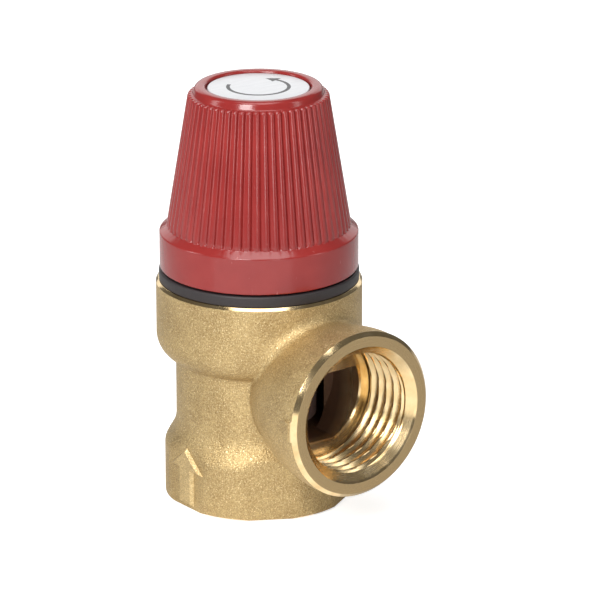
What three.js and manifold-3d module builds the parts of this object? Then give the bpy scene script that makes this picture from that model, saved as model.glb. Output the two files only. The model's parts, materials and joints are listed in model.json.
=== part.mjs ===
// Pressure relief valve, G 1/2 female inlet by G 1/2 female outlet, with a turn-to-test knob.
// Millimetres, +Z up along the valve axis. The origin is the centre of the inlet end face and
// the outlet points along +X.
import * as THREE from 'three';
import { mergeVertices } from 'three/addons/utils/BufferGeometryUtils.js';
import Module from 'manifold-3d';

const wasm = await Module();
wasm.setup();

// ---------------------------------------------------------------- driving dimensions
const gap = 0.3;                 // clearance between pieces that bear on each other
const roundSegments = 40;        // facets round a turned surface
const smallSegments = 24;        // facets round a small turned piece

// pipe threads, both ports
const threadMinorR = 9.32;       // crest radius of a G 1/2 female thread
const mouthR = 10.7;             // lead-in chamfer at a port's face
const portWall = 5.28;           // wall round the inlet thread, out to the boss corners

// outlet branch
const outletZ = 19.33;           // height of the outlet axis
const outletFaceX = 25.5;        // reach of the outlet face from the valve axis
const outletDepth = 11;          // depth of the outlet's threaded bore
const outletRimR = 12.9;         // outside of the outlet rim
const outletRimChamfer = 0.65;
const padHeight = 3.4;           // small cast pad at the side of the rim
const padLength = 1.5;
const padRelief = 0.4;
const outletRootR = 8.8;         // branch where it leaves the neck
const outletRootX = 9.4;
const windowR = 8.3;             // drilled way from the outlet bore into the chamber
const windowBelow = 7.53;        // chamber floor below the outlet axis
const windowAbove = 3.07;        // underside of the diaphragm ledge above the outlet axis

// inlet boss
const hexAcrossFlats = 28;
const bossTopDrop = 3.8;         // full-size boss ends this far below the chamber floor
const flareRise = 0.9;           // flare into the neck ends this far above the chamber floor
const arrowShaftWidth = 3;
const arrowHeadWidth = 6.6;
const arrowHeadHeight = 2.9;
const arrowHeight = 8.7;
const arrowFoot = 0.7;           // arrow starts this far above the inlet face
const arrowRelief = 0.5;

// chamber, seat and head
const chamberR = 10.2;
const neckWall = 2.65;
const seatBoreR = 6;
const seatLipWidth = 1;
const seatLipHeight = 1.4;
const seatWeb = 2.3;             // brass between the inlet thread and the chamber floor
const ledgeThickness = 1.8;
const ledgeWidth = 2.9;          // ledge that carries the diaphragm's rim
const headWall = 2.7;
const headDepth = 10.4;          // from the ledge to the top of the casting
const headRounding = 4.1;        // rounded underside of the head
const headChamfer = 0.45;

// moving stack under the spring
const spindleR = 2.2;
const spindleTail = 3.6;         // spindle end below the seat
const waterWayShare = 0.54;      // of the room between the seal and the chamber's wall
const obturatorDepth = 4.5;
const sealThickness = 2.2;
const obturatorSkirt = 0.9;      // cup's edge reaches this far below the seal
const washerThickness = 0.7;
const diaphragmThickness = 1.2;
const diaphragmCentreR = 6;
const diaphragmPlateThickness = 1.2;
const collarR = 3.6;
const collarThickness = 1.2;
const clampRingThickness = 1.4;

// spring
const springWire = 1.8;
const springMeanR = 6.6;
const springLength = 18.8;
const springTurns = 6.5;
const springEndTurns = 1;        // closed turns at each end
const springStepsPerTurn = 14;
const springSides = 6;           // facets round the wire
const springSeatThickness = 1.5;
const springSeatMargin = 0.5;    // seat and washer reach past the spring
const springTopWasherThickness = 1;

// bonnet
const bonnetFlangeThickness = 1.35;
const bonnetWall = 1.4;
const bonnetSkirtWall = 3;       // least wall of the screwed skirt
const bonnetBoreClearance = 0.5;
const adjustingNutThickness = 2.4;
const lockRingThickness = 1;
const keySlotWidth = 2.2;
const keySlotDepth = 1.1;

// lifting cams
const camCount = 4;
const camRise = 1.8;             // rise of one ramp over its full pitch
const camBackClearance = 2;      // degrees between the steep faces at rest
const pressureLift = 1.5;        // full travel of the spindle under pressure

// knob
const knobSkirtLip = 1.2;        // skirt stands out from the cone's foot
const knobSkirtHeight = 5.65;
const knobShoulder = 0.8;        // height of the slope from the skirt to the ribbed cone
const knobTopWall = 0.8;         // cone's top edge outside the hub
const knobTaper = 3.3;           // cone's foot wider than its top edge, in radius
const knobWall = 1.6;
const knobRibs = 60;
const knobRibDepth = 0.45;
const knobFloor = 1.4;
const knobWellR = 7.2;
const knobRingR = 9.5;
const knobRingHeight = 1.2;
const labelR = 7.8;
const labelThickness = 0.5;
const labelInset = 0.3;
const stemNutAcrossFlats = 8;
const stemNutThickness = 2.8;
const liftWasherThickness = 0.8;
const lockWasherThickness = 0.6;
const stemEndMargin = 0.8;       // spindle end above the nut
const labelHeadroom = 0.7;       // space left over the spindle at full lift

// ---------------------------------------------------------------- heights worked out
const chamberFloorZ = outletZ - windowBelow;
const inletThreadTopZ = chamberFloorZ - seatWeb;
const seatZ = chamberFloorZ + seatLipHeight;
const ledgeUnderZ = outletZ + windowAbove;
const ledgeZ = ledgeUnderZ + ledgeThickness;
const headTopZ = ledgeZ + headDepth;
const sealZ = seatZ + gap;
const obturatorFloorZ = sealZ - obturatorSkirt;
const obturatorTopZ = sealZ + sealThickness + gap + obturatorDepth;
const supportWasherZ = obturatorTopZ + gap;
const diaphragmCentreZ = supportWasherZ + washerThickness + gap;
const diaphragmPlateZ = diaphragmCentreZ + diaphragmThickness + gap;
const collarZ = diaphragmPlateZ + diaphragmPlateThickness + gap;
const springSeatZ = collarZ + collarThickness + gap;
const springZ = springSeatZ + springSeatThickness + gap;
const springTopWasherZ = springZ + springLength + gap;
const adjustingNutZ = springTopWasherZ + springTopWasherThickness + gap;
const lockRingZ = adjustingNutZ + adjustingNutThickness + gap;
const diaphragmRimZ = ledgeZ + gap;
const clampRingZ = diaphragmRimZ + diaphragmThickness + gap;
const bonnetBottomZ = clampRingZ + clampRingThickness + gap;
const bonnetFlangeZ = headTopZ + gap;
const knobBottomZ = bonnetFlangeZ + bonnetFlangeThickness + gap;
const crownZ = lockRingZ - gap / 2;
const hubZ = crownZ + 2 * camRise;
const knobFloorZ = hubZ + knobFloor;
const liftWasherZ = knobFloorZ + gap;
const lockWasherZ = liftWasherZ + liftWasherThickness + gap;
const stemNutZ = lockWasherZ + lockWasherThickness + gap;
const spindleTopZ = stemNutZ + stemNutThickness + stemEndMargin;
const labelZ = spindleTopZ + pressureLift + labelHeadroom;
const knobTopZ = labelZ + labelThickness + labelInset;
const knobConeTopZ = knobTopZ - knobRingHeight;
const knobConeZ = knobBottomZ + knobSkirtHeight + knobShoulder;

// ---------------------------------------------------------------- radii worked out
const springOuterR = springMeanR + springWire / 2;
const springSeatR = springOuterR + springSeatMargin;
const bonnetBoreR = springSeatR + bonnetBoreClearance;
const towerR = bonnetBoreR + bonnetWall;
const bossR = threadMinorR + portWall;
const sealR = seatBoreR + seatLipWidth + gap;
const obturatorClearance = (chamberR - sealR - gap) * waterWayShare;
const obturatorR = chamberR - obturatorClearance;
const neckR = chamberR + neckWall;
const headBoreR = Math.max(chamberR + ledgeWidth, bonnetBoreR + bonnetSkirtWall);
const headR = headBoreR + headWall;
const ledgeBoreR = obturatorR + 2 * gap;
const clampBoreR = Math.max(ledgeBoreR, bonnetBoreR);
const spindleBoreR = spindleR + gap;
const stemTailR = spindleR - 2 * gap;
const knobTopR = towerR + knobTopWall;
const knobConeR = knobTopR + knobTaper;
const knobSkirtR = knobConeR + knobSkirtLip;
const camPitch = 2 * Math.PI / camCount;

// ---------------------------------------------------------------- geometry helpers

/** Signed volume of an indexed geometry: negative when its faces point inwards. */
function signedVolume(geometry) {
  const position = geometry.getAttribute('position');
  const index = geometry.index.array;
  const a = new THREE.Vector3();
  const b = new THREE.Vector3();
  const c = new THREE.Vector3();
  let volume = 0;
  for (let i = 0; i < index.length; i += 3) {
    a.fromBufferAttribute(position, index[i]);
    b.fromBufferAttribute(position, index[i + 1]);
    c.fromBufferAttribute(position, index[i + 2]);
    volume += a.dot(b.cross(c)) / 6;
  }
  return volume;
}

/** Position-only geometry with shared vertices merged and its faces pointing out. */
function closed(geometry) {
  const bare = geometry.clone();
  bare.deleteAttribute('normal');
  bare.deleteAttribute('uv');
  const merged = mergeVertices(bare, 1e-4);
  if (signedVolume(merged) < 0) {
    const index = merged.index.array;
    for (let i = 0; i < index.length; i += 3) {
      [index[i + 1], index[i + 2]] = [index[i + 2], index[i + 1]];
    }
  }
  return merged;
}

/** A closed geometry as a solid that can be joined and cut. */
function solid(geometry) {
  const merged = closed(geometry);
  return new wasm.Manifold(new wasm.Mesh({
    numProp: 3,
    vertProperties: new Float32Array(merged.getAttribute('position').array),
    triVerts: new Uint32Array(merged.index.array),
  }));
}

/** The geometry of a solid. */
function geometryOf(manifold) {
  const mesh = manifold.getMesh();
  const geometry = new THREE.BufferGeometry();
  geometry.setAttribute('position', new THREE.BufferAttribute(mesh.vertProperties, 3));
  geometry.setIndex(new THREE.BufferAttribute(mesh.triVerts, 1));
  geometry.computeVertexNormals();
  return geometry;
}

/** Solid of revolution about Z from [radius, height] points. */
function turned(points, segments = roundSegments) {
  const outline = points.map(([r, z]) => new THREE.Vector2(r, z));
  const geometry = new THREE.LatheGeometry(outline, segments);
  geometry.rotateX(Math.PI / 2);
  return solid(geometry);
}

/** Solid of revolution about the outlet axis from [radius, distance along X] points. */
function turnedOutlet(points, segments = roundSegments) {
  const outline = points.map(([r, x]) => new THREE.Vector2(r, x));
  const geometry = new THREE.LatheGeometry(outline, segments);
  geometry.rotateZ(-Math.PI / 2);
  geometry.translate(0, 0, outletZ);
  return solid(geometry);
}

/** Flat ring about Z. */
function ring(innerR, outerR, z, height, segments = roundSegments) {
  return turned([[innerR, z], [outerR, z], [outerR, z + height], [innerR, z + height],
    [innerR, z]], segments);
}

/** Round bar about Z. */
function bar(r, z, height, segments = roundSegments) {
  return turned([[0, z], [r, z], [r, z + height], [0, z + height]], segments);
}

/** Block from its lowest corner to its highest. */
function block(low, high) {
  const size = high.map((value, axis) => value - low[axis]);
  const geometry = new THREE.BoxGeometry(...size);
  geometry.translate(...low.map((value, axis) => value + size[axis] / 2));
  return solid(geometry);
}

/** Hexagonal prism with corners on the X axis. */
function hexPrism(acrossFlats, z, height) {
  const cornerR = acrossFlats / 2 / Math.cos(Math.PI / 6);
  const geometry = new THREE.CylinderGeometry(cornerR, cornerR, height, 6, 1, false, Math.PI / 2);
  geometry.rotateX(Math.PI / 2);
  geometry.translate(0, 0, z + height / 2);
  return solid(geometry);
}

/** Points of an arc in the radius-height plane, from one angle to another in degrees. */
function arc(centreR, centreZ, radius, fromDegrees, toDegrees, steps) {
  return Array.from({ length: steps + 1 }, (_, i) => {
    const angle = THREE.MathUtils.degToRad(fromDegrees + (toDegrees - fromDegrees) * i / steps);
    return [centreR + radius * Math.cos(angle), centreZ + radius * Math.sin(angle)];
  });
}

/**
 * Sector of a ring with one face sloped: over the sector the low face, or else the high face,
 * climbs by rise.
 */
function rampSector(innerR, outerR, fromAngle, sweep, lowZ, highZ, rise, slopedLow) {
  const shape = new THREE.Shape();
  shape.absarc(0, 0, outerR, fromAngle, fromAngle + sweep, false);
  shape.absarc(0, 0, innerR, fromAngle + sweep, fromAngle, true);
  shape.closePath();
  const geometry = new THREE.ExtrudeGeometry(shape, {
    depth: highZ - lowZ, bevelEnabled: false, curveSegments: 12,
  });
  geometry.translate(0, 0, lowZ);
  const position = geometry.getAttribute('position');
  const middle = fromAngle + sweep / 2;
  for (let i = 0; i < position.count; i += 1) {
    const isLow = position.getZ(i) < (lowZ + highZ) / 2;
    if (isLow !== slopedLow) continue;
    const turn = Math.atan2(position.getY(i), position.getX(i)) - middle;
    const wrapped = Math.atan2(Math.sin(turn), Math.cos(turn));
    position.setZ(i, position.getZ(i) + rise * (wrapped / sweep + 0.5));
  }
  return solid(geometry);
}

const group = new THREE.Group();

/** Adds a named piece with its own finish. */
function addPiece(name, shape, color, roughness, metalness) {
  const geometry = shape instanceof THREE.BufferGeometry ? shape : geometryOf(shape);
  const material = new THREE.MeshStandardMaterial({ color, roughness, metalness });
  const mesh = new THREE.Mesh(geometry, material);
  mesh.name = name;
  group.add(mesh);
}

const castBrass = ['#c8aa73', 0.5, 1];
const turnedBrass = ['#d8b060', 0.25, 1];
const stainless = ['#b9babd', 0.3, 1];
const springSteel = ['#8d8f94', 0.35, 1];
const blackNylon = ['#2c2a2d', 0.55, 0];
const blackRubber = ['#191919', 0.8, 0];
const redPlastic = ['#af4b48', 0.35, 0];
const silverLabel = ['#d9dadb', 0.3, 0.4];

// ---------------------------------------------------------------- brass body

/** Inlet boss: a hexagon whose corners are turned round, flared into the neck. */
function inletBoss() {
  const bossTopZ = chamberFloorZ - bossTopDrop;
  const flareTopZ = chamberFloorZ + flareRise;
  const envelope = turned([[0, 0], [bossR, 0], [bossR, bossTopZ], [neckR, flareTopZ],
    [0, flareTopZ]]);
  return envelope.intersect(hexPrism(hexAcrossFlats, -1, flareTopZ + 2));
}

/** Neck and head, with a rounded underside to the head and a turned chamfer on top. */
function neckAndHead() {
  const roundingR = headR - headRounding;
  const roundingZ = ledgeZ + headRounding / 5;
  const start = -THREE.MathUtils.radToDeg(Math.acos((neckR - roundingR) / headRounding));
  return turned([[0, chamberFloorZ], [neckR, chamberFloorZ],
    ...arc(roundingR, roundingZ, headRounding, start, 0, 6),
    [headR, headTopZ - headChamfer], [headR - headChamfer, headTopZ], [0, headTopZ]]);
}

/** Outlet branch: swells from the neck to a turned rim. */
function outletBranch() {
  const swellLength = outletFaceX - outletRootX;
  const swell = Array.from({ length: 7 }, (_, i) => {
    const along = i / 6;
    const rise = Math.sin(along * Math.PI / 2) ** 0.75;
    return [outletRootR + (outletRimR - outletRootR) * rise, outletRootX + swellLength * along * 0.8];
  });
  return turnedOutlet([[0, 0], [outletRootR, 0], ...swell,
    [outletRimR, outletFaceX - outletRimChamfer],
    [outletRimR - outletRimChamfer, outletFaceX], [0, outletFaceX]]);
}

/** Flow arrow raised on the flat of the inlet boss that faces -Y. */
function flowArrow() {
  const shaft = arrowShaftWidth / 2;
  const head = arrowHeadWidth / 2;
  const tipZ = arrowFoot + arrowHeight;
  const headZ = tipZ - arrowHeadHeight;
  const outline = [[-shaft, arrowFoot], [shaft, arrowFoot], [shaft, headZ], [head, headZ],
    [0, tipZ], [-head, headZ], [-shaft, headZ]];
  const shape = new THREE.Shape(outline.map(([x, z]) => new THREE.Vector2(x, z)));
  const geometry = new THREE.ExtrudeGeometry(shape, { depth: arrowRelief * 2, bevelEnabled: false });
  geometry.rotateX(Math.PI / 2);
  geometry.translate(0, arrowRelief - hexAcrossFlats / 2, 0);
  return solid(geometry);
}

/** Small pad beside the outlet rim, on the side of the flow arrow. */
function rimPad() {
  const frontX = outletFaceX - outletRimChamfer;
  return block([frontX - padLength, -outletRimR - padRelief, outletZ - padHeight / 2],
    [frontX, -outletRimR + 1, outletZ + padHeight / 2]);
}

/** Everything that is bored from below and above: inlet, seat, chamber and head. */
function axialCavity() {
  return turned([[0, -1], [mouthR + 1, -1], [threadMinorR, mouthR - threadMinorR],
    [threadMinorR, inletThreadTopZ], [seatBoreR, inletThreadTopZ], [seatBoreR, seatZ],
    [seatBoreR + seatLipWidth, seatZ], [sealR + gap / 2, chamberFloorZ],
    [chamberR, chamberFloorZ], [chamberR, ledgeUnderZ], [ledgeBoreR, ledgeUnderZ],
    [ledgeBoreR, ledgeZ], [headBoreR, ledgeZ], [headBoreR, headTopZ + 1], [0, headTopZ + 1]]);
}

/** Outlet bore, and the window from it into the chamber, flat at the floor and the ledge. */
function outletCavity() {
  const boreX = outletFaceX - outletDepth;
  const bore = turnedOutlet([[0, boreX], [threadMinorR, boreX],
    [threadMinorR, outletFaceX - (mouthR - threadMinorR)], [mouthR + 1, outletFaceX + 1],
    [0, outletFaceX + 1]]);
  const drill = turnedOutlet([[0, sealR + 2 * gap], [windowR, sealR + 2 * gap], [windowR, boreX + 1],
    [0, boreX + 1]]);
  const window = block([0, -chamberR, chamberFloorZ], [outletFaceX, chamberR, ledgeUnderZ]);
  return bore.add(drill.intersect(window));
}

function valveCasting() {
  return inletBoss().add(neckAndHead()).add(outletBranch()).add(flowArrow()).add(rimPad())
    .subtract(axialCavity()).subtract(outletCavity());
}

// ---------------------------------------------------------------- pieces held in the body

/** Rubber diaphragm: flat rim, sloping wall, flat centre below the rim. */
function diaphragm() {
  const rimInnerR = ledgeBoreR - gap;
  const rimOuterR = headBoreR - gap;
  const shift = diaphragmThickness * 0.45;
  return turned([[spindleBoreR, diaphragmCentreZ], [diaphragmCentreR + shift, diaphragmCentreZ],
    [rimInnerR, diaphragmRimZ], [rimOuterR, diaphragmRimZ],
    [rimOuterR, diaphragmRimZ + diaphragmThickness], [rimInnerR - shift, diaphragmRimZ + diaphragmThickness],
    [diaphragmCentreR, diaphragmCentreZ + diaphragmThickness],
    [spindleBoreR, diaphragmCentreZ + diaphragmThickness], [spindleBoreR, diaphragmCentreZ]]);
}

/** Slip ring between the bonnet and the diaphragm's rim. */
function diaphragmClampRing() {
  return ring(clampBoreR, headBoreR - gap, clampRingZ, clampRingThickness);
}

/** Bonnet: screwed skirt, flange, spring tower and a crown of lifting ramps. */
function bonnet() {
  const threadR = headBoreR - gap;
  const flangeR = headR - headChamfer;
  const flangeTopZ = bonnetFlangeZ + bonnetFlangeThickness;
  const shell = turned([[bonnetBoreR, bonnetBottomZ], [threadR, bonnetBottomZ],
    [threadR, bonnetFlangeZ], [flangeR, bonnetFlangeZ], [flangeR, flangeTopZ],
    [towerR, flangeTopZ], [towerR, crownZ], [bonnetBoreR, crownZ], [bonnetBoreR, bonnetBottomZ]]);
  let crowned = shell;
  for (let i = 0; i < camCount; i += 1) {
    crowned = crowned.add(rampSector(bonnetBoreR, towerR, i * camPitch, camPitch, crownZ - 1,
      crownZ, camRise, false));
  }
  return crowned;
}

/** Screw-in nut over the spring, with two key slots. */
function adjustingNut() {
  const nut = ring(spindleBoreR, bonnetBoreR - gap, adjustingNutZ, adjustingNutThickness);
  const topZ = adjustingNutZ + adjustingNutThickness;
  return nut.subtract(block([-bonnetBoreR, -keySlotWidth / 2, topZ - keySlotDepth],
    [bonnetBoreR, keySlotWidth / 2, topZ + 1]));
}

function adjusterLockRing() {
  return ring(stemNutAcrossFlats / 2, bonnetBoreR - gap, lockRingZ, lockRingThickness);
}

function springTopWasher() {
  return ring(spindleBoreR, springSeatR, springTopWasherZ, springTopWasherThickness);
}

/** Helix with closed end turns and evenly opened turns between them. */
class SpringCurve extends THREE.Curve {
  getPoint(t, target = new THREE.Vector3()) {
    const turns = t * springTurns;
    const closedPitch = springWire * 1.1;
    const openTurns = springTurns - 2 * springEndTurns;
    const rise = springLength - springWire;
    const openPitch = (rise - 2 * springEndTurns * closedPitch) / openTurns;
    const low = Math.min(turns, springEndTurns);
    const open = Math.min(Math.max(turns - springEndTurns, 0), openTurns);
    const high = Math.max(turns - springEndTurns - openTurns, 0);
    const angle = turns * 2 * Math.PI;
    const z = springZ + springWire / 2 + (low + high) * closedPitch + open * openPitch;
    return target.set(springMeanR * Math.cos(angle), springMeanR * Math.sin(angle), z);
  }
}

function mainSpring() {
  const section = new THREE.Shape();
  section.absarc(0, 0, springWire / 2, 0, 2 * Math.PI, false);
  return closed(new THREE.ExtrudeGeometry(section, {
    steps: Math.round(springTurns * springStepsPerTurn),
    curveSegments: springSides,
    extrudePath: new SpringCurve(),
  }));
}

// ---------------------------------------------------------------- pieces that lift

/** Stem from the tail below the seat to the nut under the label, with one collar. */
function spindle() {
  const tailTopZ = sealZ + sealThickness + gap;
  return turned([[0, seatZ - spindleTail], [stemTailR, seatZ - spindleTail], [stemTailR, tailTopZ],
    [spindleR, tailTopZ], [spindleR, collarZ], [collarR, collarZ], [collarR, collarZ + collarThickness],
    [spindleR, collarZ + collarThickness], [spindleR, spindleTopZ - gap], [spindleR - gap, spindleTopZ],
    [0, spindleTopZ]], smallSegments);
}

/** Hexagon nut with a round hole. */
function nut(acrossFlats, boreR, z, height) {
  return hexPrism(acrossFlats, z, height).subtract(bar(boreR, z - 1, height + 2, smallSegments));
}

function sealWasher() {
  return ring(stemTailR + gap / 2, seatBoreR - 4 * gap, seatZ - washerThickness,
    washerThickness, smallSegments);
}

function sealNut() {
  const height = 2;
  return nut(6, stemTailR + gap / 2, seatZ - washerThickness - gap - height, height);
}

function sealDisc() {
  return ring(stemTailR + gap / 2, sealR, sealZ, sealThickness);
}

/** Cup that carries the seal disc, with a raised rim round the diaphragm's support washer. */
function obturator() {
  const recessTopZ = sealZ + sealThickness + gap;
  const rimInnerR = diaphragmCentreR + gap;
  const rimTopZ = supportWasherZ + washerThickness;
  return turned([[spindleBoreR, recessTopZ], [sealR + gap, recessTopZ], [sealR + gap, obturatorFloorZ],
    [obturatorR, obturatorFloorZ], [obturatorR, rimTopZ], [rimInnerR, rimTopZ],
    [rimInnerR, obturatorTopZ], [spindleBoreR, obturatorTopZ], [spindleBoreR, recessTopZ]]);
}

function diaphragmSupportWasher() {
  return ring(spindleBoreR, diaphragmCentreR, supportWasherZ, washerThickness, smallSegments);
}

function diaphragmPlate() {
  return ring(spindleBoreR, diaphragmCentreR - gap, diaphragmPlateZ, diaphragmPlateThickness, smallSegments);
}

/** Lower spring plate with a low spigot that centres the spring. */
function springSeat() {
  const spigotR = springMeanR - springWire / 2 - gap;
  const topZ = springSeatZ + springSeatThickness;
  return turned([[spindleBoreR, springSeatZ], [springSeatR, springSeatZ], [springSeatR, topZ],
    [spigotR, topZ], [spigotR, topZ + springWire], [spindleBoreR, topZ + springWire],
    [spindleBoreR, springSeatZ]]);
}

function stemLockWasher() {
  return ring(spindleBoreR, stemNutAcrossFlats / 2 + gap, lockWasherZ, lockWasherThickness, smallSegments);
}

function stemNut() {
  return nut(stemNutAcrossFlats, spindleR + gap / 2, stemNutZ, stemNutThickness);
}

function liftWasher() {
  return ring(spindleBoreR, knobWellR - 1, liftWasherZ, liftWasherThickness, smallSegments);
}

// ---------------------------------------------------------------- knob

/** Cone with pointed ribs: two facets to a rib, every second edge set in by the rib depth. */
function ribbedCone() {
  const outline = [[0, knobConeZ - knobShoulder], [knobConeR, knobConeZ - knobShoulder],
    [knobConeR, knobConeZ], [knobTopR, knobConeTopZ], [0, knobConeTopZ]];
  const points = outline.map(([r, z]) => new THREE.Vector2(r, z));
  const geometry = new THREE.LatheGeometry(points, 2 * knobRibs);
  geometry.rotateX(Math.PI / 2);
  const position = geometry.getAttribute('position');
  for (let i = 0; i < position.count; i += 1) {
    const r = Math.hypot(position.getX(i), position.getY(i));
    const facet = Math.floor(i / outline.length);
    if (facet % 2 === 0 || r < knobTopR / 2) continue;
    const shrink = (r - knobRibDepth) / r;
    position.setXY(i, position.getX(i) * shrink, position.getY(i) * shrink);
  }
  return solid(geometry);
}

/** Hollow under the knob, narrowing to the hub. */
function knobCavity() {
  const skirtTopZ = knobBottomZ + knobSkirtHeight;
  const roofZ = (hubZ + knobFloorZ) / 2;
  return turned([[0, knobBottomZ - 1], [knobSkirtR - knobWall, knobBottomZ - 1],
    [knobSkirtR - knobWall, skirtTopZ - knobWall], [knobConeR - knobWall, knobConeZ],
    [towerR + 2 * gap, hubZ], [towerR, roofZ], [0, roofZ]]);
}

/** Skirt, ribbed cone, raised ring round the label, hub and the cams that ride the crown. */
function knob() {
  const skirtTopZ = knobBottomZ + knobSkirtHeight;
  const skirt = turned([[0, knobBottomZ], [knobSkirtR, knobBottomZ], [knobSkirtR, skirtTopZ],
    [knobConeR, knobConeZ], [0, knobConeZ]]);
  const raisedRing = bar(knobRingR, knobConeTopZ - 1, knobRingHeight + 1);
  let shape = skirt.add(ribbedCone()).add(raisedRing).subtract(knobCavity());
  shape = shape.add(bar(towerR, hubZ, knobFloor));
  const backClearance = THREE.MathUtils.degToRad(camBackClearance);
  const clearRise = camRise * backClearance / camPitch;
  for (let i = 0; i < camCount; i += 1) {
    shape = shape.add(rampSector(bonnetBoreR, towerR, i * camPitch + backClearance,
      camPitch - backClearance, crownZ + gap + clearRise, hubZ + knobFloor / 2, camRise - clearRise, true));
  }
  return shape.subtract(bar(knobWellR, knobFloorZ, knobTopZ - knobFloorZ + 1))
    .subtract(bar(labelR + gap / 2, labelZ - gap, knobTopZ))
    .subtract(bar(spindleBoreR + gap, hubZ - 1, knobFloor + 2, smallSegments));
}

function knobLabel() {
  return bar(labelR, labelZ, labelThickness);
}

// ---------------------------------------------------------------- assembly

addPiece('valve_casting', valveCasting(), ...castBrass);
addPiece('diaphragm', diaphragm(), ...blackRubber);
addPiece('diaphragm_clamp_ring', diaphragmClampRing(), ...blackNylon);
addPiece('bonnet', bonnet(), ...blackNylon);
addPiece('spring_top_washer', springTopWasher(), ...stainless);
addPiece('adjusting_nut', adjustingNut(), ...turnedBrass);
addPiece('adjuster_lock_ring', adjusterLockRing(), ...turnedBrass);
addPiece('main_spring', mainSpring(), ...springSteel);
addPiece('spindle', spindle(), ...turnedBrass);
addPiece('seal_nut', sealNut(), ...turnedBrass);
addPiece('seal_washer', sealWasher(), ...stainless);
addPiece('seal_disc', sealDisc(), ...blackRubber);
addPiece('obturator', obturator(), ...blackNylon);
addPiece('diaphragm_support_washer', diaphragmSupportWasher(), ...stainless);
addPiece('diaphragm_plate', diaphragmPlate(), ...stainless);
addPiece('spring_seat', springSeat(), ...stainless);
addPiece('lift_washer', liftWasher(), ...stainless);
addPiece('stem_lock_washer', stemLockWasher(), ...stainless);
addPiece('stem_nut', stemNut(), ...turnedBrass);
addPiece('knob', knob(), ...redPlastic);
addPiece('knob_label', knobLabel(), ...silverLabel);

export default group;
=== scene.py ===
"""Looks of the pressure relief valve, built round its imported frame.

Everything is in metres in the part's own frame: +Z up the valve axis, +X along the outlet.
"""
import json
import math

import bpy
import numpy as np
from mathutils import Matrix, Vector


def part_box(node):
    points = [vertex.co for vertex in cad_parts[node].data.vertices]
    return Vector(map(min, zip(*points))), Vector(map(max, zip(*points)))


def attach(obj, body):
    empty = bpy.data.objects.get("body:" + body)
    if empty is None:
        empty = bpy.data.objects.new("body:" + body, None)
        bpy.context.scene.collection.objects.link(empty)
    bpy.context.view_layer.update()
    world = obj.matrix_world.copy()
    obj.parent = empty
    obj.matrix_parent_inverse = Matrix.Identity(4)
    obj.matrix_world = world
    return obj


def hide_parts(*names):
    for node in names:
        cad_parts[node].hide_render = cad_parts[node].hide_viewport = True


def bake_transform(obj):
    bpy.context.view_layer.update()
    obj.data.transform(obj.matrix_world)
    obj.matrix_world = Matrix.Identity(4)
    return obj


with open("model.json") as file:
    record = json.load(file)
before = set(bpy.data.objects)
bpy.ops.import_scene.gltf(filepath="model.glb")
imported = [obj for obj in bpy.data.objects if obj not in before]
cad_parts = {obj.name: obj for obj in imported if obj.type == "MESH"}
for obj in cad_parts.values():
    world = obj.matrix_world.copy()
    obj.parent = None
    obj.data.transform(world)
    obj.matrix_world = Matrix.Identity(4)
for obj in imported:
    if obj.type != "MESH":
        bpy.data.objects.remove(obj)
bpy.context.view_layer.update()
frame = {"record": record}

behaviour = frame["record"]["behaviour"]
body_of = {node: body for body, nodes in behaviour["bodies"].items() for node in nodes}

MM = 0.001
TURN = 2 * math.pi

# ------------------------------------------------------------------ places from the frame
casting_low, casting_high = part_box("valve_casting")
knob_low, knob_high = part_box("knob")
label_low, label_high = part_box("knob_label")
bonnet_low, bonnet_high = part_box("bonnet")
opening = {entry["name"]: np.array(entry["box_m"]) for entry in frame["record"]["physics"]["openings"]}

HEAD_R = -casting_low.x / MM
HEAD_TOP = casting_high.z / MM
OUTLET_X = casting_high.x / MM
OUTLET_Z = opening["outlet_socket"][:, 2].mean() / MM
KNOB_Z = knob_low.z / MM
KNOB_TOP = knob_high.z / MM
LABEL_TOP = label_high.z / MM

# ------------------------------------------------------------------ sizes of the real valve, mm
THREAD_MINOR_R = 9.32
THREAD_MAJOR_R = 10.48
THREAD_PITCH = 1.814
MOUTH_R = 10.7
BOSS_R = 14.65
HEX_FLAT = 13.95            # half the width across the inlet boss's flats
BOSS_TOP = 8.5
NECK_R = 12.85
NECK_LOW = 11.4
HEAD_UNDER_ROUND = 4.1
HEAD_UNDER_CENTRE = HEAD_TOP - 8.5    # height of the centre of the head's rounded underside
HEAD_CHAMFER = 0.4
HEAD_CHAMFER_DEPTH = 0.5
RIM_R = 12.9
CHAMBER_R = 10.2
CHAMBER_FLOOR = OUTLET_Z - 7.53
LEDGE_UNDER = OUTLET_Z + 3.07
WINDOW_R = 8.3
OUTLET_DEPTH = 11.0
INLET_DEPTH = 9.5
SEAT_R = 6.0
SEAT_TOP = CHAMBER_FLOOR + 1.4
RIB_COUNT = 60
PAD_X = OUTLET_X - 1.45
TOWER_BORE_R = 8.5
TOWER_R = 9.9
HUB_Z = KNOB_TOP - 10.3      # underside of the knob's hub
CAM_FOOT = KNOB_TOP - 13.6   # lowest edge of the knob's cams
CROWN_Z = KNOB_TOP - 13.9    # foot of the crown's ramps
CAM_RISE = 1.8
RAMP_COUNT = 4
PIECE_GAP = 0.3              # between pieces that bear on each other


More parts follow.
